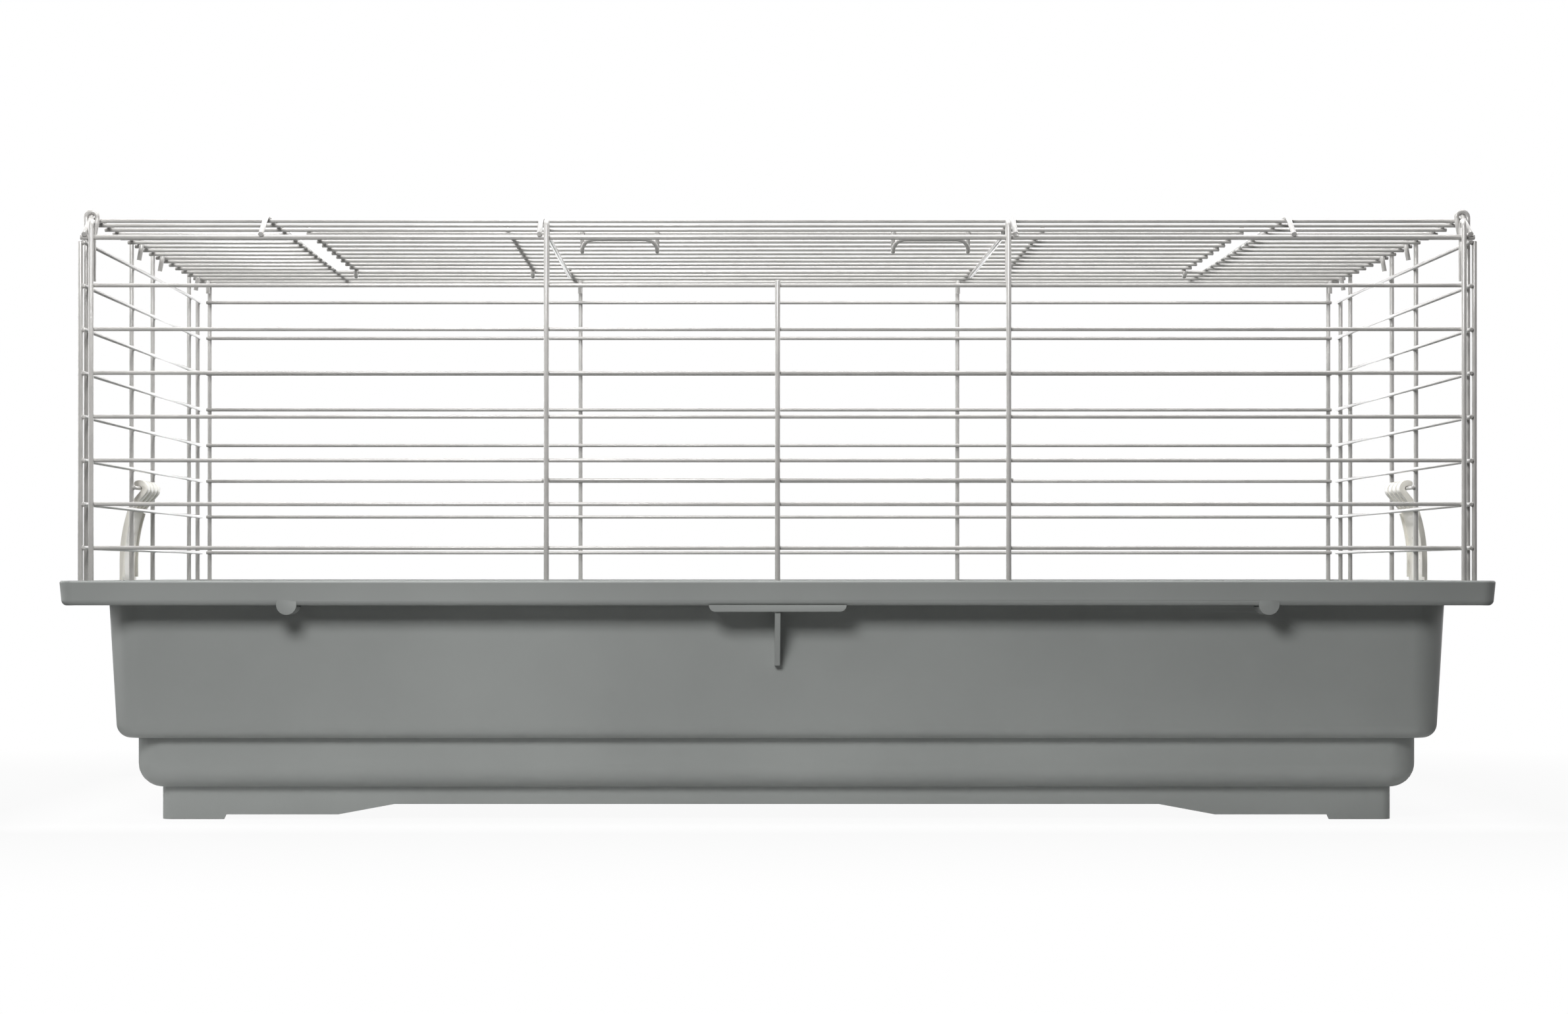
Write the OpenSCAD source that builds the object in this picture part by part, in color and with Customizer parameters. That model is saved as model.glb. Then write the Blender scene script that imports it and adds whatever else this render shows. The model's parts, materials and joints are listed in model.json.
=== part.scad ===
// Indoor rabbit hutch: a cage of hooked wire panels on a moulded tray, with a
// lifting lid in the roof and a plastic clip on each side that holds the cage down.
// Millimetres. +Z is up, +X is to the right and the front faces -Y. The origin is
// on the floor under the middle of the tray.

/* [Tray] */
// Length of the tray over its rim
tray_l = 1000; // [960:5:1100]
// Depth of the tray over its rim
tray_d = 546; // [544:1:560]
// Height of the rim's top edge above the floor
rim_z = 170; // [168:0.5:171]
// Wall thickness of the moulding
wall = 3; // [2.4:0.2:3.4]
// Plan corner radius of the rim
rim_r = 11; // [10:0.5:14]
// How far the tub's wall stands in from the rim's edge
tub_in = 26.7; // [25:0.1:30]
// Plan corner radius of the upper tub at its top
tub_r = 27; // [26:1:34]
// How far the upper tub's wall leans in over its height
tub_draft = 5.9; // [4:0.1:7]
// Height of the step under the upper tub
step_z = 58.8; // [54:0.2:66]
// How far the lower tub stands in from the upper one
step_in = 12.6; // [11:0.1:15]
// Height of the tub's underside above the floor
floor_z = 23.2; // [20:0.2:25]
// Length of each corner foot
foot_l = 44; // [34:1:54]

/* [Wire] */
// Diameter of the heavy wire: uprights, rails and cross wires
heavy_d = 3.6; // [3.4:0.1:3.8]
// Diameter of the light wire: rungs, roof rows and bows
light_d = 2.8; // [2.4:0.1:3]
// How deep crossing wires are set into each other at a weld
weld = 0.35; // [0.2:0.05:0.5]

/* [Cage] */
// Vertical spacing of the rungs, and spacing of the roof rows
pitch = 30.5; // [30.3:0.1:30.7]
// Height of the ledge that the cage stands on
ledge_z = 160; // [159:0.5:161]
// Distance of the front and back uprights in from the rim's edge
panel_in = 10; // [9.5:0.1:10.5]
// Distance from the middle to the two inner uprights of the front and back
bay_x = 161; // [140:1:161]
// Height of the short front bar and of the wires that the clips turn on
bar_z = 240; // [237:0.5:243]

/* [Roof] */
// Distance from the middle to the cross wires beside the lid
section_x = 360; // [355:1:380]
// Distance from the middle to the bars that carry the lid
rest_x = 166; // [166:1:180]
// Height of the front rail below the roof rows
rail_drop = 14.5; // [13:0.1:15]

/* [Lid] */
// Half length of the lid's rows
lid_x = 344; // [336:1:348]
// Distance from the middle to the lid's inner cross wires
lid_cross_x = 196; // [190:1:230]
// Distance from the middle to the centre of each wire bow
bow_x = 114; // [90:1:118]
// Width of a bow between its two legs
bow_w = 55; // [48:1:60]

/* [Clips] */
// Width of a side clip
clip_w = 58; // [48:1:64]

/* [Hidden] */
$fn = 32;

// Colours
tray_grey = "#828683";
wire_white = "#dcdad4";
clip_white = "#e9e6da";

// Tray, worked out from the rim inwards
half_l = tray_l / 2;
half_d = tray_d / 2;
rim_h = 17.4;                           // height of the rim's outer band
rim_bottom = rim_z - rim_h;
rim_edge = 4;                           // rounding of the band's lower edge
rim_lean = 1.2;                         // the band leans out over its height
tub_x = half_l - tub_in;
tub_y = half_d - tub_in;
step_round = 10;                        // rounding of the upper tub's lower edge
lower_x = tub_x - tub_draft - step_in;
lower_y = tub_y - tub_draft - step_in;
lower_r = 22.8;                         // plan corner radius of the lower tub
lower_round = 17;                       // rounding of its lower edge
skirt_in = 16.8;                        // the skirt stands in from the lower tub
skirt_x = lower_x - skirt_in;
skirt_y = lower_y - skirt_in;
skirt_r = 8;
foot_rise = 3.4;                        // first rise of the skirt beside a foot
arch_rise = 10.8;                       // rise of the skirt at mid side
long_arch = [82, 122];                  // from a foot to the slope's start and end
short_arch = [47, 77];                  // the same on the short sides
lug_x = 341;
lug_r = 7;
notch_in = 3.6;                         // the rim stands in this much behind each clip
notch_w = clip_w + 2;
rooted = 4;                             // how far a grip or lug starts inside the tub's face
past = 1;                               // how far a cut goes past a face, or a part into another

// Wire
lap = 0.1;                              // how far a straight reaches into a bend
thinning = 0.04;                        // how much thinner a bend is than the straights

// Distance between the centres of two wires that cross at a weld
cross_step = (heavy_d + light_d) / 2 - weld;
rail_step = heavy_d - weld;
overhang = 3.5;                         // wire left beyond its last weld
rung_end = 2.5;                         // the same on the front and back rungs

// Panels
side_inset = 3;                         // the side panels stand in this much more
end_gap = 9;                            // from the side panels to the nearest front upright
frame_gap = 8.25;                       // from the front panel to the nearest side upright
first_rung = 2.3;                       // the lowest rung, above the ledge
panel_y = half_d - panel_in;
side_x = half_l - panel_in - side_inset;
panel_end_x = side_x - end_gap;         // outer uprights of the front and back
frame_y = panel_y - frame_gap;          // outer uprights of the sides
rung_z = ledge_z + first_rung;
rungs = 9;                              // on the back and sides; the front has one less
top_rung_z = rung_z + (rungs - 1) * pitch;
side_hooks = [-234, -57, 35, 210];      // the hooks' places along the side
clip_y = (side_hooks[1] + side_hooks[2]) / 2;

// Roof
rows = 16;
roof_rise = 17.7;                       // from the top rung up to the roof's rows
first_y = -(rows - 1) / 2 * pitch;
row_z = top_rung_z + roof_rise;
cross_z = row_z + cross_step;           // cross wires lie on top of the rows
back_rail_z = cross_z - rail_step;
front_rail_z = row_z - rail_drop;
panel_hook = 4.5;                       // bend radius of the front and back hooks
side_hook = 4;                          // bend radius of the side hooks
front_arch = 6.6;                       // where the front hooks begin, above their rail
back_arch = 4.9;                        // the same at the back
side_arch = -0.85;                      // the same at the sides, from the cross wires
front_tip = 37;                         // straight end of a front hook
back_tip = 15;
side_tip = 13;
rail_y = panel_y - panel_hook;
roof_x = side_x - side_hook;            // outermost cross wires

// Front ends of the cross wires: they bend down after the first row and meet the rail
kink = 6;                               // bend radius
kink_y = first_y - 4.75;                // where the bend turns
past_rail = 2;                          // they end this far beyond the rail's centre
to_rail = [rail_y + kink_y, cross_z - front_rail_z];
dive = atan2(to_rail[1], to_rail[0]) - asin(rail_step / norm(to_rail));
kink_trim = kink * tan(dive / 2);
dive_l = norm(to_rail) + past_rail - kink_trim;

// Lid: rows 4 to 13, hinged on row 14
lid_first = 4;
lid_last = 13;
hinge_y = row_y(lid_last + 1);
play = 0.3;                             // between an eye and the wire in it
eye_r = (light_d + heavy_d) / 2 + play;
lid_cross_z = row_z + eye_r;
lid_row_z = lid_cross_z - cross_step;
rest_z = row_z - cross_step;            // the bars under the lid

// Bows
bow_d = 3;
bow_r = (light_d + bow_d) / 2 + play;

// Clips
clip_gap = 0.6;                         // from a clip to the wire in it and to the rim
clip_wire_x = side_x - cross_step;
finger_in = light_d / 2 + clip_gap;
finger_t = 4.2;                         // thickness of a finger
fingers = 4;
slot_w = 3;                             // between two fingers
skin_t = 2.2;                           // thickness of the clip's body
edge_t = 4;                             // depth of the flanges along its two edges
edge_w = 2.2;                           // width of a flange
edge_sunk = 0.5;                        // how far the flanges are set into the body
nip = 0.01;                             // keeps a finger's parts from only touching
bulge_r = 129;                          // the body bulges out with this radius
joined_x = 6.3;                         // the fingers are joined from here outwards
skin_out = half_l - notch_in + clip_gap + skin_t - clip_wire_x;   // outer face
bulge_z = rim_z + 14 - bar_z;           // where the bulge is widest
nose_z = rim_bottom - 1 - bar_z;        // the nose's catch, 1 mm under the rim
nose_l = 5;                             // how far the nose reaches in

function row_y(i) = first_y + (i - 1) * pitch;

// ---- Wire work ----------------------------------------------------------

// A wire laid in one plane from the origin towards +X. Each step is a straight
// length, then a turn in degrees (to the left if positive) and its bend radius.
// Bending thins the wire a little, and the straights reach a short way into a bend.
module wire_path(steps, d, i = 0) {
    step = steps[i];
    more = i < len(steps) - 1;
    from = i > 0 ? -lap : 0;
    if (step[0] > 0)
        translate([from, 0, 0]) rotate([0, 90, 0])
            cylinder(d = d, h = step[0] - from + (more ? lap : 0));
    if (more) {
        turn = step[1];
        bend = step[2];
        side = turn < 0 ? -1 : 1;
        translate([step[0], side * bend, 0]) {
            rotate([0, 0, turn < 0 ? 90 + turn : -90]) ring_arc(bend, abs(turn), d);
            rotate([0, 0, turn])
                translate([0, -side * bend, 0]) wire_path(steps, d, i + 1);
        }
    }
}

module ring_arc(bend, angle, d) {
    rotate_extrude(angle = angle) translate([bend, 0]) circle(d = d - thinning);
}

// Stands a flat drawing up: its x runs along Y (or X) and its y runs up
module in_yz(x) translate([x, 0, 0]) rotate([90, 0, 90]) children();
module in_xz(y) translate([0, y, 0]) rotate([90, 0, 0]) children();

module x_wire(x0, x1, y, z, d) translate([x0, y, z]) rotate([0, 90, 0]) cylinder(d = d, h = x1 - x0);
module y_wire(y0, y1, x, z, d) translate([x, y1, z]) rotate([90, 0, 0]) cylinder(d = d, h = y1 - y0);
module x_rung(half, y, z, d) x_wire(-half, half, y, z, d);

// An upright from the ledge up to an arch, over it and down to its tip
module hooked_upright(at, arch_z, turn, bend, tip) {
    translate([at, ledge_z]) rotate([0, 0, 90])
        wire_path([[arch_z - ledge_z, turn, bend], [tip]], heavy_d);
}

// ---- Tray ---------------------------------------------------------------

module rounded_rect(half_x, half_y, r) {
    square([2 * half_x, 2 * (half_y - r)], center = true);
    square([2 * (half_x - r), 2 * half_y], center = true);
    for (x = [-1, 1], y = [-1, 1])
        translate([x * (half_x - r), y * (half_y - r)]) circle(r);
}

// Sweeps a profile round a rectangle of half sizes cx, cy. The profile's x is the
// distance out from that rectangle and its y is the height.
module swept(cx, cy) {
    for (i = [0:3]) {
        along = i % 2 == 0 ? cy : cx;
        out = i % 2 == 0 ? cx : cy;
        rotate([0, 0, 90 * i]) translate([out, along, 0]) {
            rotate([90, 0, 0]) linear_extrude(2 * along) children();
            rotate_extrude(angle = 90) children();
        }
    }
}

// A tub-shaped solid between the heights z0 and z1. Its wall leans in by draft from
// z1 down, and its lower edge is rounded.
module tub_solid(half_x, half_y, r, z0, z1, draft, edge) {
    h = z1 - z0;
    n = [h, -draft] / norm([h, draft]);
    centre = [r + (-edge + (h - edge) * n[1]) / n[0], z0 + edge];
    swept(half_x - r, half_y - r)
        intersection() {
            union() {
                polygon([[0, z0], [centre[0], z0], centre + edge * n, [r, z1], [0, z1]]);
                translate(centre) circle(edge);
            }
            translate([0, z0 - past]) square([r + past, h + 2 * past]);
        }
    translate([r - half_x, r - half_y, z0])
        cube([2 * (half_x - r), 2 * (half_y - r), h]);
}

// The rim: a ledge for the cage, and an outer band with a rounded bead on top
module rim() {
    cx = half_l - rim_r;
    cy = half_d - rim_r;
    low_x = rim_r - rim_lean;
    bead_z = rim_z - wall / 2;
    swept(cx, cy) {
        polygon([[0, rim_bottom], [low_x - rim_edge, rim_bottom], [low_x, rim_bottom + rim_edge],
                 [rim_r, bead_z], [rim_r - wall, bead_z], [rim_r - wall, ledge_z], [0, ledge_z]]);
        translate([low_x - rim_edge, rim_bottom + rim_edge]) circle(rim_edge);
        translate([rim_r - wall / 2, bead_z]) circle(wall / 2);
    }
    translate([-cx, -cy, rim_bottom]) cube([2 * cx, 2 * cy, ledge_z - rim_bottom]);
}

// What is cut away under the skirt between two feet: a low step as far as arch[0] from
// the foot, then a slope up to the arch, which begins at arch[1]
module foot_cut(foot_end, arch, depth) {
    step_end = foot_end - 2;
    low_end = foot_end - arch[0];
    arch_end = foot_end - arch[1];
    in_xz(depth / 2)
        linear_extrude(depth)
            polygon([[-foot_end, -past], [-step_end, foot_rise], [-low_end, foot_rise],
                     [-arch_end, arch_rise], [arch_end, arch_rise], [low_end, foot_rise],
                     [step_end, foot_rise], [foot_end, -past]]);
}

// The finger grip under the rim: a shelf with rounded lower corners, and a rib
// below it that runs down the tub's wall
module grip() {
    reach = half_d - 1.5;
    half_w = 47.8;
    shelf_h = 4.6;
    top_z = rim_bottom + 0.4;
    rib_w = 3.8;
    rib_h = 38;
    rib_low = top_z - shelf_h - rib_h;
    in_xz(rooted - tub_y)
        linear_extrude(reach - tub_y + rooted) {
            translate([0, top_z - shelf_h / 2]) square([2 * (half_w - shelf_h), shelf_h], center = true);
            for (x = [shelf_h - half_w, half_w - shelf_h])
                intersection() {
                    translate([x, top_z]) circle(shelf_h);
                    translate([-half_w, top_z - shelf_h]) square([2 * half_w, shelf_h]);
                }
        }
    in_yz(-rib_w / 2)
        linear_extrude(rib_w)
            polygon([[rooted - tub_y, rib_low], [-tub_y - 2.5, rib_low],
                     [2 - reach, top_z - shelf_h - 4], [2 - reach, top_z - past],
                     [rooted - tub_y, top_z - past]]);
}

// A round lug under the rim, flush with its face and cut off inside the ledge
module lug(x) {
    z = rim_bottom + 0.6;
    in_xz(rooted - tub_y)
        linear_extrude(half_d - rim_lean - tub_y + rooted)
            translate([x, z])
                intersection() {
                    circle(lug_r);
                    translate([-lug_r, -lug_r]) square([2 * lug_r, lug_r + ledge_z - past - z]);
                }
}

// The rim stands in behind a clip: the wall of this notch with a bead on top and two
// sides, and what is cut away outside it
module notch_wall() {
    x = half_l - notch_in - wall;
    low = 0.5;                          // the wall begins this far above the rim's underside
    bead_z = rim_z - wall / 2;
    in_xz(notch_w / 2 + wall)
        linear_extrude(notch_w + 2 * wall) {
            translate([x, rim_bottom + low]) square([wall, bead_z - rim_bottom - low]);
            translate([x + wall / 2, bead_z]) circle(wall / 2);
        }
    for (y = [-notch_w / 2 - wall, notch_w / 2 - past])
        translate([x + past, y, ledge_z - past])
            cube([notch_in + wall - 3 * past, wall + past, bead_z - ledge_z + past]);
}

module notch_cut() {
    translate([half_l - notch_in, -notch_w / 2, rim_bottom - past])
        cube([notch_in + past, notch_w, rim_h + 2 * past]);
}

module tray() {
    color(tray_grey)
    difference() {
        union() {
            tub_solid(tub_x, tub_y, tub_r, step_z, ledge_z - past, tub_draft, step_round);
            tub_solid(lower_x, lower_y, lower_r, floor_z, step_z + past, 0, lower_round);
            rim();
            linear_extrude(floor_z + past) rounded_rect(skirt_x, skirt_y, skirt_r);
            for (turn = [0, 180])
                rotate([0, 0, turn]) {
                    grip();
                    lug(-lug_x);
                    lug(lug_x);
                    translate([0, clip_y * cos(turn), 0]) notch_wall();
                }
        }
        for (turn = [0, 180])
            rotate([0, 0, turn]) translate([0, clip_y * cos(turn), 0]) notch_cut();
        tub_solid(tub_x - wall, tub_y - wall, tub_r - wall, step_z + wall, rim_z + past,
                  tub_draft, step_round - wall);
        tub_solid(lower_x - wall, lower_y - wall, lower_r - wall, floor_z + wall,
                  step_z + wall + past, 0, lower_round - wall);
        // the channel under the ledge, left whole at the lugs and behind the clips
        translate([0, 0, rim_bottom - past])
            linear_extrude(ledge_z - wall - rim_bottom + past)
                difference() {
                    rounded_rect(half_l - wall - past, half_d - wall - past, rim_r - wall);
                    rounded_rect(tub_x + past / 2, tub_y + past / 2, tub_r);
                    for (x = [-lug_x, lug_x])
                        translate([x, 0])
                            square([2 * (lug_r - past), tray_d - 12], center = true);
                    for (x = [notch_in - half_l, half_l - notch_in])
                        translate([x, clip_y])
                            square([2 * wall, notch_w + 2 * wall], center = true);
                }
        // the hollow inside the skirt
        translate([0, 0, -past])
            linear_extrude(floor_z + past)
                rounded_rect(skirt_x - wall, skirt_y - wall, skirt_r - wall);
        foot_cut(skirt_x - foot_l, long_arch, tray_d);
        rotate([0, 0, 90]) foot_cut(skirt_y - foot_l, short_arch, tray_l);
    }
}

// ---- Front and back panels ----------------------------------------------

module front_uprights() {
    color(wire_white)
    for (x = [-panel_end_x, -bay_x, bay_x, panel_end_x])
        in_yz(x)
            hooked_upright(-panel_y, front_rail_z + front_arch, -180, panel_hook, front_tip);
}

module front_centre_upright() {
    top = top_rung_z - pitch + overhang;
    color(wire_white)
    translate([0, -panel_y, ledge_z]) cylinder(d = heavy_d, h = top - ledge_z);
}

module front_rungs() {
    color(wire_white)
    for (i = [0:rungs - 2])
        x_rung(panel_end_x + rung_end, cross_step - panel_y, rung_z + i * pitch, light_d);
}

module front_short_bar() {
    color(wire_white)
    x_rung(bay_x + overhang, cross_step - panel_y, bar_z, light_d);
}

module back_uprights() {
    color(wire_white)
    for (x = [-panel_end_x, -bay_x, bay_x, panel_end_x])
        in_yz(x)
            hooked_upright(panel_y, back_rail_z + back_arch, 180, panel_hook, back_tip);
}

module back_rungs() {
    color(wire_white)
    for (i = [0:rungs - 1])
        x_rung(panel_end_x + rung_end, panel_y - cross_step, rung_z + i * pitch, light_d);
}

// ---- Side panels, drawn for the right-hand side --------------------------

module side_frame() {
    color(wire_white)
    for (y = [-frame_y, frame_y])
        translate([side_x, y, ledge_z]) cylinder(d = heavy_d, h = top_rung_z + 1 - ledge_z);
}

// These hooks close a little beyond a half turn
module side_uprights() {
    color(wire_white)
    for (y = side_hooks)
        in_xz(y) hooked_upright(side_x, cross_z + side_arch, 190, side_hook, side_tip);
}

module side_rungs() {
    color(wire_white)
    for (i = [0:rungs - 1])
        y_wire(-frame_y - overhang, frame_y + overhang, side_x - cross_step, rung_z + i * pitch,
               light_d);
}

module clip_wire() {
    color(wire_white)
    y_wire(side_hooks[1] - overhang, side_hooks[2] + overhang, clip_wire_x, bar_z, light_d);
}

// ---- Roof -----------------------------------------------------------------

module roof_front_rail() {
    color(wire_white) x_rung(roof_x + overhang, -rail_y, front_rail_z, heavy_d);
}

module roof_back_rail() {
    color(wire_white) x_rung(roof_x + overhang, rail_y, back_rail_z, heavy_d);
}

// Each wire starts at the back and is followed to the front
module roof_cross_wires() {
    back_y = rail_y + overhang;
    color(wire_white)
    for (x = [-roof_x, -section_x, section_x, roof_x])
        in_yz(x) translate([back_y, cross_z]) rotate([0, 0, 180])
            wire_path([[back_y - kink_y - kink_trim, dive, kink], [dive_l]], heavy_d);
}

// They lie under the lid, then rise over the front rows and come down on the rail
module roof_lid_rests() {
    back_y = hinge_y + overhang;
    under_y = row_y(lid_first) - 13.25;   // where they begin to rise
    rise = cross_z - rest_z;
    slope = 30;
    slope_l = (rise - 2 * kink * (1 - cos(slope))) / sin(slope);
    over_y = under_y - 2 * kink * sin(slope) - slope_l * cos(slope);
    color(wire_white)
    for (x = [-rest_x, rest_x])
        in_yz(x) translate([back_y, rest_z]) rotate([0, 0, 180])
            wire_path([[back_y - under_y, -slope, kink], [slope_l, slope, kink],
                       [over_y - kink_y - kink_trim, dive, kink], [dive_l]], heavy_d);
}

module roof_back_stubs() {
    color(wire_white)
    for (x = [-rest_x, rest_x])
        y_wire(hinge_y - overhang, rail_y + overhang, x, cross_z, heavy_d);
}

module roof_long_rows() {
    color(wire_white)
    for (i = [1:rows])
        if (i < lid_first || i > lid_last)
            x_rung(roof_x + overhang, row_y(i), row_z, light_d);
}

module side_rows() {
    color(wire_white)
    for (i = [lid_first:lid_last])
        x_wire(section_x - overhang, roof_x + overhang, row_y(i), row_z, light_d);
}

// ---- Lid ------------------------------------------------------------------

module lid_rows() {
    color(wire_white)
    for (i = [lid_first:lid_last])
        x_rung(lid_x, row_y(i), lid_row_z, light_d);
}

// Each cross wire ends in an eye round row 14
module lid_cross_wires() {
    front_y = row_y(lid_first) - overhang;
    row_end = 2;                        // the rows end this far beyond the outer wires
    end_x = lid_x - row_end;
    color(wire_white)
    for (x = [-end_x, -lid_cross_x, lid_cross_x, end_x])
        in_yz(x) translate([front_y, lid_cross_z])
            wire_path([[hinge_y - front_y, -270, eye_r], [0]], heavy_d);
}

// A bow that hangs on the lid's first row: two curls, two legs with the feet turned
// up sharply, and a flat-topped arch between them. It leans so that its weight is
// under the row.
module bow(x) {
    lean = 22.7;
    leg = bow_w / 2;
    leg_l = 13.2;
    foot_r = 1.9;
    shoulder_r = 5;
    slope = 59;
    slope_l = 8.6;
    hairpin = 90 + slope;
    // the arch's flat top fills what the feet, slopes and shoulders leave
    crown = 2 * (leg - foot_r * (1 + sin(slope)) - slope_l * cos(slope) - shoulder_r * sin(slope));
    color(wire_white)
    translate([x, row_y(lid_first), lid_row_z]) rotate([lean, 0, 0]) {
        translate([-leg, -bow_r, lap]) rotate([90, 0, 0]) rotate([0, 0, -90])
            wire_path([[leg_l, hairpin, foot_r], [slope_l, -slope, shoulder_r],
                       [crown, -slope, shoulder_r], [slope_l, hairpin, foot_r], [leg_l]], bow_d);
        for (side = [-leg, leg])
            in_yz(side) rotate([0, 0, -110]) ring_arc(bow_r, 290, bow_d);
    }
}

module left_bow() bow(-bow_x);
module right_bow() bow(bow_x);

// ---- Clips, drawn for the right-hand side -----------------------------------

// Side views of the clip, with the clip wire at the origin and +x outwards

// A finger curls over the wire from outside, then slants down and out under it
module finger_outline() {
    out = finger_in + finger_t;
    far = 2 * out;
    tip = 62;
    slant = 220;
    difference() {
        circle(out);
        circle(finger_in);
        polygon([[0, 0], far * [cos(slant), sin(slant)], far * [cos(275), sin(275)],
                 far * [cos(330), sin(330)], far * [cos(tip), sin(tip)]]);
    }
    rotate(tip) translate([finger_in + finger_t / 2, 0]) circle(finger_t / 2 - nip);
    intersection() {
        rotate(slant) translate([finger_in + nip, -lap]) square([finger_t - 2 * nip, 26]);
        translate([skin_out - bulge_r, bulge_z]) circle(bulge_r, $fn = 180);
    }
}

// The bulge of the clip's body, between the depths d0 and d1 from its outer face
module bulge_outline(d0, d1) {
    slope = 17.5;
    far = 2 * bulge_r;
    translate([skin_out - bulge_r, bulge_z])
        intersection() {
            difference() {
                circle(bulge_r - d0, $fn = 180);
                circle(bulge_r - d1, $fn = 180);
            }
            polygon([[0, 0], [far, 0], far * [cos(slope), sin(slope)]]);
        }
}

// Down from the bulge past the rim, to a nose that catches under it
module drop_outline() {
    inner = skin_out - skin_t;
    nose = inner - nose_l;
    polygon([[skin_out, bulge_z], [skin_out, nose_z - 2], [skin_out - 1.6, nose_z - 4],
             [nose + 2.4, nose_z - 4], [nose, nose_z - 1.6], [nose, nose_z], [inner, nose_z],
             [inner, bulge_z]]);
}

// The raised edge on the inner side, down to just above the rim
module flange_outline() {
    low = rim_z + 2.5 - bar_z;
    bulge_outline(edge_sunk, edge_t);
    translate([skin_out - edge_t, low]) square([edge_t - edge_sunk, bulge_z - low]);
}

module side_clip() {
    far_end = clip_y + clip_w / 2;
    finger_w = (clip_w - (fingers - 1) * slot_w) / fingers;
    color(clip_white)
    translate([clip_wire_x, far_end, bar_z]) rotate([90, 0, 0]) {
        linear_extrude(clip_w) {
            bulge_outline(0, skin_t);
            drop_outline();
            // the fingers join along the body's top
            intersection() {
                finger_outline();
                translate([joined_x, -30]) square(30);
            }
        }
        for (z = [0, clip_w - edge_w])
            translate([0, 0, z]) linear_extrude(edge_w) flange_outline();
        for (i = [0:fingers - 1])
            translate([0, 0, i * (finger_w + slot_w)]) linear_extrude(finger_w) finger_outline();
    }
}

module on_left() mirror([1, 0, 0]) children();

tray();
front_uprights();
front_centre_upright();
front_rungs();
front_short_bar();
back_uprights();
back_rungs();
on_left() side_frame();  // left_frame
on_left() side_uprights();  // left_uprights
on_left() side_rungs();  // left_rungs
on_left() clip_wire();  // left_clip_wire
side_frame();  // right_frame
side_uprights();  // right_uprights
side_rungs();  // right_rungs
clip_wire();  // right_clip_wire
roof_front_rail();
roof_back_rail();
roof_cross_wires();
roof_lid_rests();
roof_back_stubs();
roof_long_rows();
on_left() side_rows();  // roof_left_rows
side_rows();  // roof_right_rows
lid_rows();
lid_cross_wires();
left_bow();
right_bow();
on_left() side_clip();  // left_clip
side_clip();  // right_clip
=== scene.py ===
"""Indoor rabbit hutch: wire cage on a moulded tray, dressed for a studio picture.

The CAD model is the frame. This script gives its nodes their finishes and rounded
edges, adds the welds where wires cross, shapes the two bows that hang on the lid,
and sets up the floor, light and camera.
Lengths are in metres unless they are said to be in mm: X right, Y back, Z up.
"""

import json
import math

import bmesh
import bpy
from mathutils import Matrix, Vector


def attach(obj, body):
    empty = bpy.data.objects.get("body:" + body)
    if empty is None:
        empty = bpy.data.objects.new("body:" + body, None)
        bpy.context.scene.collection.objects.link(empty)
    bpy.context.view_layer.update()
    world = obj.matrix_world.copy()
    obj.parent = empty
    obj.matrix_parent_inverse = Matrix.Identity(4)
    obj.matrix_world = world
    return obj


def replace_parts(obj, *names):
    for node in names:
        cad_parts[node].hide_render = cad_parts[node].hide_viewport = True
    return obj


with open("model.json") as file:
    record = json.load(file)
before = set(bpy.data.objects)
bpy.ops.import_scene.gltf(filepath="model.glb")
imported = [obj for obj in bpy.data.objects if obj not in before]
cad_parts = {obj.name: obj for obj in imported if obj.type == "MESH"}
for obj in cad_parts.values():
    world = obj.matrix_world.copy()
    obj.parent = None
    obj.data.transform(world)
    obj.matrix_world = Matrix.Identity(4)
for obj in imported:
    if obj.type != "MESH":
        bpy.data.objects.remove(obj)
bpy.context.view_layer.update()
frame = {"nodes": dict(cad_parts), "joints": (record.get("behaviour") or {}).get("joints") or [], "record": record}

nodes = frame["nodes"]
MM = 0.001
WHITE = (1, 1, 1, 1)

SLOTS = {part["node"]: part["material_slot"] for part in frame["record"]["subparts"]}

# Colours as seen, in sRGB
TRAY_GREY = (149, 152, 150)
WIRE_WHITE = (189, 187, 184)
CLIP_IVORY = (238, 235, 226)

# All finishes: the noise values that the colour drifts between, the noise's detail,
# and the roughness of the clear coat
TONE_FROM = 0.3
TONE_TO = 0.7
TONE_DETAIL = 3
BUMP_DETAIL = 2
COAT_ROUGHNESS = 0.12

# Rounding of the moulded edges and of the coated wire ends, by material slot
EDGE_ROUND = {"tray_plastic": 0.5 * MM, "wire_coating": 0.7 * MM, "clip_plastic": 0.45 * MM}
EDGE_SEGMENTS = 3
FLAT_ANGLE = math.radians(0.5)
SHARP_ANGLE = math.radians(40)

# The nodes come in with split vertices: those this close are one
JOINED = 0.002 * MM

# Weld bead: half its width and height, how far it is sunk into the wires, and its mesh
WELD_HALF_WIDTH = 1.95 * MM
WELD_HALF_HEIGHT = 1.1 * MM
WELD_SUNK = 0.15 * MM
WELD_SEGMENTS = 14
WELD_RINGS = 8

# Bow, in mm and degrees
BOW_WIRE_RADIUS = 1.5
BOW_WIRE_RESOLUTION = 4
BOW_LEG_X = 27.5                # from the middle of a bow to each leg
BOW_LEG = 10.6                  # length of a leg, from the curl to the hairpin
BOW_CURL_RADIUS = 3.2
BOW_CURL = (-110, 180)          # where on its circle the curl has its tip, and its leg
BOW_FOOT_RADIUS = 1.9
BOW_FOOT_TURN = 170             # of the hairpin; 180 would set the arch parallel to the legs
BOW_CORNER_RADIUS = 9.3
BOW_LEAN = 22.7                 # angle at which the CAD's bows hang
BOW_ARC_STEP = 6

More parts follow.
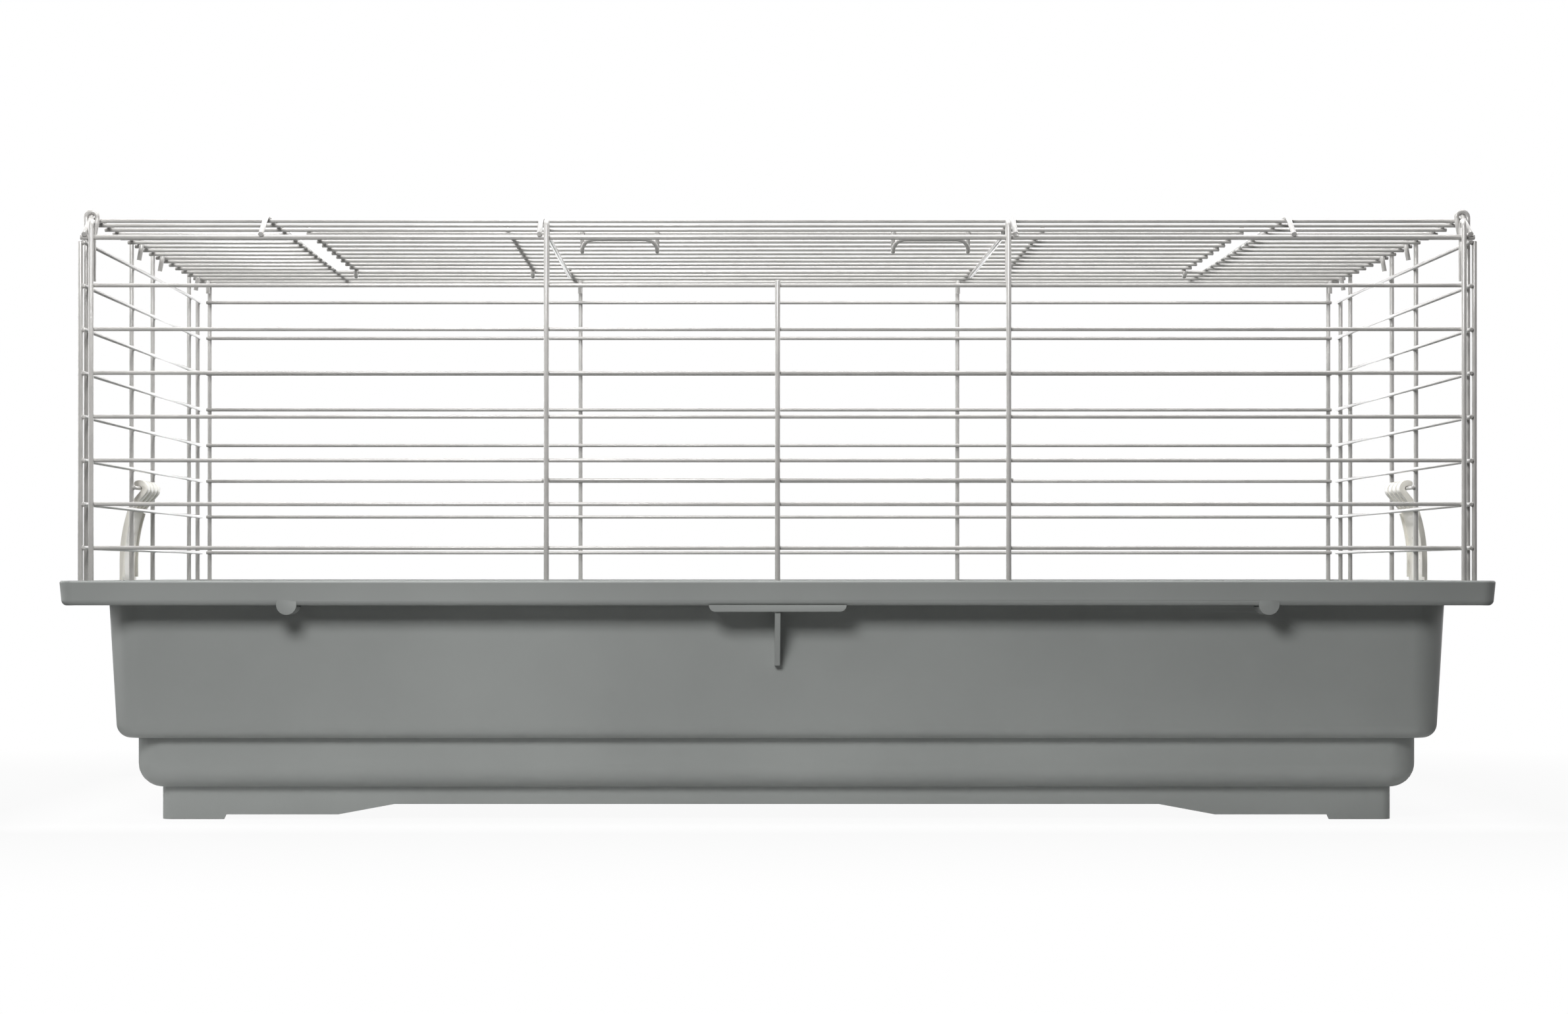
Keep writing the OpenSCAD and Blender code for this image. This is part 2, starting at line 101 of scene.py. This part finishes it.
# Planes of the stage
STAGE_SIZE = 30
STAGE_ROUGHNESS = 0.9
FLOOR_Z = -0.0002
BACKDROP_Y = 6
BACKDROP_TONE = 0.8
AMBIENT = 0.01

# Floor: its tone at the tray and farther off, and how far out it changes over. The tone is painted light: pale at
# the tray as a painted pool of light that bounces up into the tray, darker farther off as painted shade
FLOOR_PAINTED_LIGHT = 0.95
FLOOR_PAINTED_SHADE = 0.12
PAINTED_LIGHT_FADE = (0.0, 0.07)
FOOTPRINT = (0.5, 0.273, 0)     # half the size of the tray

# Floor as the camera sees it: the share of plain white at the tray, and where it gets to 1
FLOOR_WHITE = 0.94
WHITE_FADE = (0.05, 0.5)

# Between these two Y, reflections of the floor change over to plain white
BEHIND = (1.0, 2.5)

# Name, place, aim, size in metres, power in watts
LIGHTS = [
    ("key", (-0.46, -1.62, 0.95), (0, -0.2, 0.15), (0.55, 0.45), 20),
    ("overhead", (0, -0.25, 1.2), (0, -0.25, 0), (1.5, 0.5), 17),
    ("back", (0, 2.6, 1.25), (0, 0, 1.25), (6, 2.4), 45),
    ("left", (-1.7, 0.1, 0.5), (0, 0, 0.25), (1.0, 0.8), 8),
    ("right", (1.7, 0.1, 0.5), (0, 0, 0.25), (1.0, 0.8), 3),
]

CAMERA_PLACE = (-0.0324, -2.5748, 0.1745)
CAMERA_SHIFT = (0.0338, 0.0428)
CAMERA_LENS = 76.23             # mm, on a sensor of this width
CAMERA_SENSOR = 36


def add_node(tree, kind, inputs, **settings):
    """A new node, with its inputs linked to outputs or set to plain values."""
    node = tree.nodes.new(kind)
    for name, value in settings.items():
        setattr(node, name, value)
    for key, value in inputs.items():
        if isinstance(value, bpy.types.NodeSocket):
            tree.links.new(value, node.inputs[key])
        else:
            node.inputs[key].default_value = value
    return node


# ---- Materials --------------------------------------------------------------


def linear(rgb):
    """An sRGB colour of 0 to 255 as the linear colour that Blender wants."""
    out = []
    for value in rgb:
        c = value / 255
        out.append(c / 12.92 if c <= 0.04045 else ((c + 0.055) / 1.055) ** 2.4)
    return (*out, 1.0)


def shade(rgb, factor):
    return tuple(min(255, c * factor) for c in rgb)


def make_finish(name, rgb, tone, roughness, bumps, coat=0.0):
    """A Principled material whose colour, roughness and bumps come from object-space noise."""
    material = bpy.data.materials.new(name)
    material.use_nodes = True
    tree = material.node_tree
    place = tree.nodes.new("ShaderNodeTexCoord").outputs["Object"]

    def noise(scale, detail):
        inputs = {"Vector": place, "Scale": scale, "Detail": detail}
        return add_node(tree, "ShaderNodeTexNoise", inputs).outputs["Fac"]

    colour = add_node(tree, "ShaderNodeValToRGB", {"Fac": noise(tone["scale"], TONE_DETAIL)})
    dark, light = colour.color_ramp.elements
    dark.position = TONE_FROM
    dark.color = linear(shade(rgb, tone["darkest"]))
    light.position = TONE_TO
    light.color = linear(shade(rgb, tone["lightest"]))
    rough = add_node(tree, "ShaderNodeMapRange", {
        "Value": noise(roughness["scale"], roughness["detail"]),
        "To Min": roughness["low"],
        "To Max": roughness["high"],
    })
    normal = None
    for layer in bumps:
        inputs = {
            "Strength": layer["strength"],
            "Distance": layer["height"],
            "Height": noise(layer["scale"], BUMP_DETAIL),
        }
        if normal is not None:
            inputs["Normal"] = normal
        normal = add_node(tree, "ShaderNodeBump", inputs).outputs["Normal"]

    shader = tree.nodes["Principled BSDF"]
    shader.inputs["Coat Weight"].default_value = coat
    shader.inputs["Coat Roughness"].default_value = COAT_ROUGHNESS
    tree.links.new(colour.outputs["Color"], shader.inputs["Base Color"])
    tree.links.new(rough.outputs["Result"], shader.inputs["Roughness"])
    tree.links.new(normal, shader.inputs["Normal"])
    return material


FINISHES = {
    # Satin moulded plastic: faint flow clouds and a fine spark-eroded grain
    "tray_plastic": make_finish(
        "tray_plastic",
        TRAY_GREY,
        tone={"scale": 7, "darkest": 0.97, "lightest": 1.03},
        roughness={"scale": 40, "detail": 4, "low": 0.38, "high": 0.5},
        bumps=[
            {"scale": 2400, "strength": 0.12, "height": 0.0001},
            {"scale": 25, "strength": 0.08, "height": 0.0006},
        ],
    ),
    # Powder coat on wire: slightly uneven tone and a very faint orange-peel surface
    "wire_coating": make_finish(
        "wire_coating",
        WIRE_WHITE,
        tone={"scale": 60, "darkest": 0.96, "lightest": 1.03},
        roughness={"scale": 300, "detail": 2, "low": 0.26, "high": 0.4},
        bumps=[
            {"scale": 700, "strength": 0.03, "height": 0.0002},
            {"scale": 90, "strength": 0.015, "height": 0.0004},
        ],
        coat=0.9,
    ),
    # Ivory moulded plastic, a little glossy, with soft flow marks
    "clip_plastic": make_finish(
        "clip_plastic",
        CLIP_IVORY,
        tone={"scale": 35, "darkest": 0.975, "lightest": 1.02},
        roughness={"scale": 120, "detail": 2, "low": 0.24, "high": 0.36},
        bumps=[
            {"scale": 1500, "strength": 0.1, "height": 0.0001},
            {"scale": 50, "strength": 0.12, "height": 0.0004},
        ],
        coat=0.15,
    ),
}


def soften(obj, width):
    """Joins the split vertices, then rounds the sharp edges."""
    join = obj.modifiers.new("join", "WELD")
    join.merge_threshold = JOINED
    flat = obj.modifiers.new("flat", "DECIMATE")
    flat.decimate_type = "DISSOLVE"
    flat.angle_limit = FLAT_ANGLE
    edge = obj.modifiers.new("edge", "BEVEL")
    edge.width = width
    edge.segments = EDGE_SEGMENTS
    edge.limit_method = "ANGLE"
    edge.angle_limit = SHARP_ANGLE
    edge.harden_normals = True


def paint(obj, slot):
    obj.data.materials.clear()
    obj.data.materials.append(FINISHES[slot])


def coated_piece(name, data):
    """A mesh as a smooth object of the scene, in the wires' coating."""
    data.shade_smooth()
    obj = bpy.data.objects.new(name, data)
    bpy.context.scene.collection.objects.link(obj)
    paint(obj, "wire_coating")
    return obj


for name, obj in nodes.items():
    obj.data.shade_smooth()
    soften(obj, EDGE_ROUND[SLOTS[name]])
    paint(obj, SLOTS[name])


# ---- Welds ------------------------------------------------------------------


def islands(name):
    """Box of each separate wire of a node, as (lowest corner, highest corner)."""
    mesh = bmesh.new()
    mesh.from_mesh(nodes[name].data)
    bmesh.ops.remove_doubles(mesh, verts=mesh.verts, dist=JOINED)
    boxes = []
    seen = set()
    for start in mesh.verts:
        if start in seen:
            continue
        seen.add(start)
        group = [start]
        for vert in group:
            for edge in vert.link_edges:
                other = edge.other_vert(vert)
                if other not in seen:
                    seen.add(other)
                    group.append(other)
        low = Vector(min(vert.co[axis] for vert in group) for axis in range(3))
        high = Vector(max(vert.co[axis] for vert in group) for axis in range(3))
        boxes.append((low, high))
    mesh.free()
    return boxes


def main_axis(facing):
    return max(range(3), key=lambda k: abs(facing[k]))


def crossings(wires, across, facing):
    """Where each of wires (straight) meets the wires of across, on its side facing."""
    axis = main_axis(facing)
    for low, high in wires:
        for other_low, other_high in across:
            start = [max(a, b) for a, b in zip(low, other_low)]
            end = [min(a, b) for a, b in zip(high, other_high)]
            if any(s > e for s, e in zip(start, end)):
                continue
            spot = (Vector(start) + Vector(end)) / 2
            spot[axis] = high[axis] if facing[axis] > 0 else low[axis]
            yield spot


def weld_piece(name, body, spots, facing):
    """The coating's fillets round the welds: a flat bead at each crossing."""
    size = [WELD_HALF_WIDTH] * 3
    size[main_axis(facing)] = WELD_HALF_HEIGHT
    sink = Vector(facing) * WELD_SUNK
    mesh = bmesh.new()
    for spot in spots:
        bmesh.ops.create_uvsphere(
            mesh,
            u_segments=WELD_SEGMENTS,
            v_segments=WELD_RINGS,
            radius=1,
            matrix=Matrix.Translation(spot - sink) @ Matrix.Diagonal((*size, 1)),
        )
    data = bpy.data.meshes.new(name)
    mesh.to_mesh(data)
    mesh.free()
    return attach(coated_piece(name, data), body)


# Name, body, straight wires, the wires across them, and the side of the straight ones
# that the others lie on
WELDS = [
    ("front_welds", "cage", ["front_rungs", "front_short_bar"],
     ["front_uprights", "front_centre_upright"], (0, -1, 0)),
    ("back_welds", "cage", ["back_rungs"], ["back_uprights"], (0, 1, 0)),
    ("left_welds", "cage", ["left_rungs", "left_clip_wire"], ["left_uprights", "left_frame"],
     (-1, 0, 0)),
    ("right_welds", "cage", ["right_rungs", "right_clip_wire"], ["right_uprights", "right_frame"],
     (1, 0, 0)),
    ("roof_welds", "cage", ["roof_long_rows", "roof_left_rows", "roof_right_rows"],
     ["roof_cross_wires", "roof_lid_rests", "roof_back_stubs"], (0, 0, 1)),
    ("lid_welds", "lid", ["lid_rows"], ["lid_cross_wires"], (0, 0, 1)),
]
for name, body, wires, across, facing in WELDS:
    straight = [box for node in wires for box in islands(node)]
    crossing = [box for node in across for box in islands(node)]
    weld_piece(name, body, crossings(straight, crossing, facing), facing)


# ---- Bows -------------------------------------------------------------------


def arc(start, end):
    """Angles from start to end in even steps, given in degrees and returned in radians."""
    count = max(1, round(abs(end - start) / BOW_ARC_STEP))
    return [math.radians(start + (end - start) * k / count) for k in range(count + 1)]


def bow_line():
    """Half of a bow's centreline in mm, from the tip of its curl to the arch's flat top.

    The leg hangs from the curl, and a tight hairpin at its foot turns the wire
    forward and up into the arch, which stands in front of the legs.
    """
    points = []
    for a in arc(*BOW_CURL):
        back = BOW_CURL_RADIUS * math.cos(a)
        up = BOW_CURL_RADIUS * math.sin(a)
        points.append(Vector((-BOW_LEG_X, back, up)))
    for a in arc(0, BOW_FOOT_TURN):
        forward = BOW_CURL_RADIUS + BOW_FOOT_RADIUS * (1 - math.cos(a))
        down = BOW_LEG + BOW_FOOT_RADIUS * math.sin(a)
        points.append(Vector((-BOW_LEG_X, -forward, -down)))
    turn = math.radians(BOW_FOOT_TURN)
    rise = Vector((0, -math.sin(turn), -math.cos(turn)))
    corner = points[-1] + Vector((BOW_CORNER_RADIUS, 0, 0))
    for a in arc(0, 90)[1:]:
        out = Vector((BOW_CORNER_RADIUS * math.cos(a), 0, 0))
        points.append(corner - out + rise * BOW_CORNER_RADIUS * math.sin(a))
    return points


def bow_piece(name, body, hinge):
    """The bow's wire as a mesh, hung on its hinge in place of the CAD's simpler one."""
    half = bow_line()
    other_half = [Vector((-p.x, p.y, p.z)) for p in reversed(half)]
    lean = Matrix.Rotation(math.radians(BOW_LEAN), 3, "X")
    curve = bpy.data.curves.new(name, "CURVE")
    curve.dimensions = "3D"
    curve.bevel_depth = BOW_WIRE_RADIUS * MM
    curve.bevel_resolution = BOW_WIRE_RESOLUTION
    curve.use_fill_caps = True
    line = curve.splines.new("POLY")
    line.points.add(len(half) + len(other_half) - 1)
    for point, place in zip(line.points, half + other_half):
        point.co = (*(Vector(hinge) + lean @ place * MM), 1)
    wire = bpy.data.objects.new(name, curve)
    data = bpy.data.meshes.new_from_object(wire)
    bpy.data.objects.remove(wire)
    obj = coated_piece(name, data)
    soften(obj, EDGE_ROUND["wire_coating"])
    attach(obj, body)
    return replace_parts(obj, body)


for joint in frame["joints"]:
    if joint["child"] in ("left_bow", "right_bow"):
        bow_piece(joint["child"] + "_wire", joint["child"], joint["pos_m"])


# ---- Floor, light and camera ------------------------------------------------


def show_white(tree, shader_output, target, seen, reflected):
    """Camera rays see plain white by the share seen, and reflections by the other share."""
    ray = tree.nodes.new("ShaderNodeLightPath").outputs

    def combine(operation, a, b):
        node = add_node(tree, "ShaderNodeMath", {0: a, 1: b}, operation=operation)
        return node.outputs["Value"]

    by_camera = combine("MULTIPLY", ray["Is Camera Ray"], seen)
    by_gloss = combine("MULTIPLY", ray["Is Glossy Ray"], reflected)
    on_surface = target.node.type == "OUTPUT_MATERIAL"
    kind = "ShaderNodeEmission" if on_surface else "ShaderNodeBackground"
    white = add_node(tree, kind, {"Color": WHITE, "Strength": 1.0})
    mix = add_node(tree, "ShaderNodeMixShader", {
        0: combine("ADD", by_camera, by_gloss),
        1: shader_output,
        2: white.outputs[0],
    })
    tree.links.new(mix.outputs["Shader"], target)


def change_over(tree, value, span, start, end):
    """From start, up to the first value of span, to end, from the second one on."""
    return add_node(tree, "ShaderNodeMapRange", {
        "Value": value,
        "From Min": span[0],
        "From Max": span[1],
        "To Min": start,
        "To Max": end,
    }).outputs["Result"]


def distance_from_tray(tree, place):
    """How far a point of the floor is outside the tray's footprint."""

    def step(operation, *vectors):
        return add_node(
            tree, "ShaderNodeVectorMath", dict(enumerate(vectors)), operation=operation
        ).outputs

    level = step("MULTIPLY", place, (1, 1, 0))["Vector"]
    mirrored = step("ABSOLUTE", level)["Vector"]
    past = step("SUBTRACT", mirrored, FOOTPRINT)["Vector"]
    outside = step("MAXIMUM", past, (0, 0, 0))["Vector"]
    return step("LENGTH", outside)["Value"]


def studio_plane(name, location, rotation, tone):
    """A large matt plane of the stage. Returns its node tree, shader and material output."""
    bpy.ops.mesh.primitive_plane_add(size=STAGE_SIZE, location=location, rotation=rotation)
    plane = bpy.context.object
    plane.name = name
    material = bpy.data.materials.new(name)
    material.use_nodes = True
    tree = material.node_tree
    shader = tree.nodes["Principled BSDF"]
    shader.inputs["Base Color"].default_value = (tone, tone, tone, 1)
    shader.inputs["Roughness"].default_value = STAGE_ROUGHNESS
    plane.data.materials.append(material)
    return tree, shader, tree.nodes["Material Output"].inputs["Surface"]


def make_floor():
    """Painted light in its tone: pale near the tray as a painted pool of light, which lights the tray from below,
    and darker farther off as painted shade.
    """
    tree, shader, target = studio_plane("floor", (0, 0, FLOOR_Z), (0, 0, 0), FLOOR_PAINTED_LIGHT)
    place = tree.nodes.new("ShaderNodeTexCoord").outputs["Object"]
    outside = distance_from_tray(tree, place)
    # painted light: the floor's tone is pale at the tray and darker farther off, a painted pool of light that
    # bounces up into the tray
    tone = change_over(tree, outside, PAINTED_LIGHT_FADE, FLOOR_PAINTED_LIGHT, FLOOR_PAINTED_SHADE)
    painted_light_grey = add_node(tree, "ShaderNodeCombineColor", {"Red": tone, "Green": tone, "Blue": tone})
    tree.links.new(painted_light_grey.outputs["Color"], shader.inputs["Base Color"])
    seen = change_over(tree, outside, WHITE_FADE, FLOOR_WHITE, 1.0)
    depth = add_node(tree, "ShaderNodeSeparateXYZ", {"Vector": place}).outputs["Y"]
    reflected = change_over(tree, depth, BEHIND, 0.0, 1.0)
    show_white(tree, shader.outputs["BSDF"], target, seen, reflected)


def make_backdrop():
    """White paper far behind: the gloss of the wires shows it."""
    upright = (math.radians(90), 0, 0)
    tree, shader, target = studio_plane("backdrop", (0, BACKDROP_Y, 0), upright, BACKDROP_TONE)
    show_white(tree, shader.outputs["BSDF"], target, seen=1.0, reflected=1.0)


def make_world():
    """Hardly any light of its own, and white to the camera."""
    world = bpy.data.worlds.new("studio")
    bpy.context.scene.world = world
    world.use_nodes = True
    tree = world.node_tree
    sky = tree.nodes["Background"]
    sky.inputs["Color"].default_value = WHITE
    sky.inputs["Strength"].default_value = AMBIENT
    target = tree.nodes["World Output"].inputs["Surface"]
    show_white(tree, sky.outputs["Background"], target, seen=1.0, reflected=0.0)


def soft_light(name, position, aim, size, power):
    data = bpy.data.lights.new(name, "AREA")
    data.shape = "RECTANGLE"
    data.size, data.size_y = size
    data.energy = power
    light = bpy.data.objects.new(name, data)
    light.location = position
    light.rotation_euler = (Vector(aim) - Vector(position)).to_track_quat("-Z", "Y").to_euler()
    light.visible_camera = False
    bpy.context.scene.collection.objects.link(light)


def make_camera():
    """Level, low and far in front, at the height of the tray's rim."""
    data = bpy.data.cameras.new("camera")
    data.sensor_width = CAMERA_SENSOR
    data.lens = CAMERA_LENS
    data.shift_x, data.shift_y = CAMERA_SHIFT
    camera = bpy.data.objects.new("camera", data)
    camera.location = CAMERA_PLACE
    camera.rotation_euler = (math.radians(90), 0, 0)
    bpy.context.scene.collection.objects.link(camera)
    bpy.context.scene.camera = camera


make_floor()
make_backdrop()
make_world()
for light in LIGHTS:
    soft_light(*light)
make_camera()
bpy.context.scene.view_settings.view_transform = "Standard"
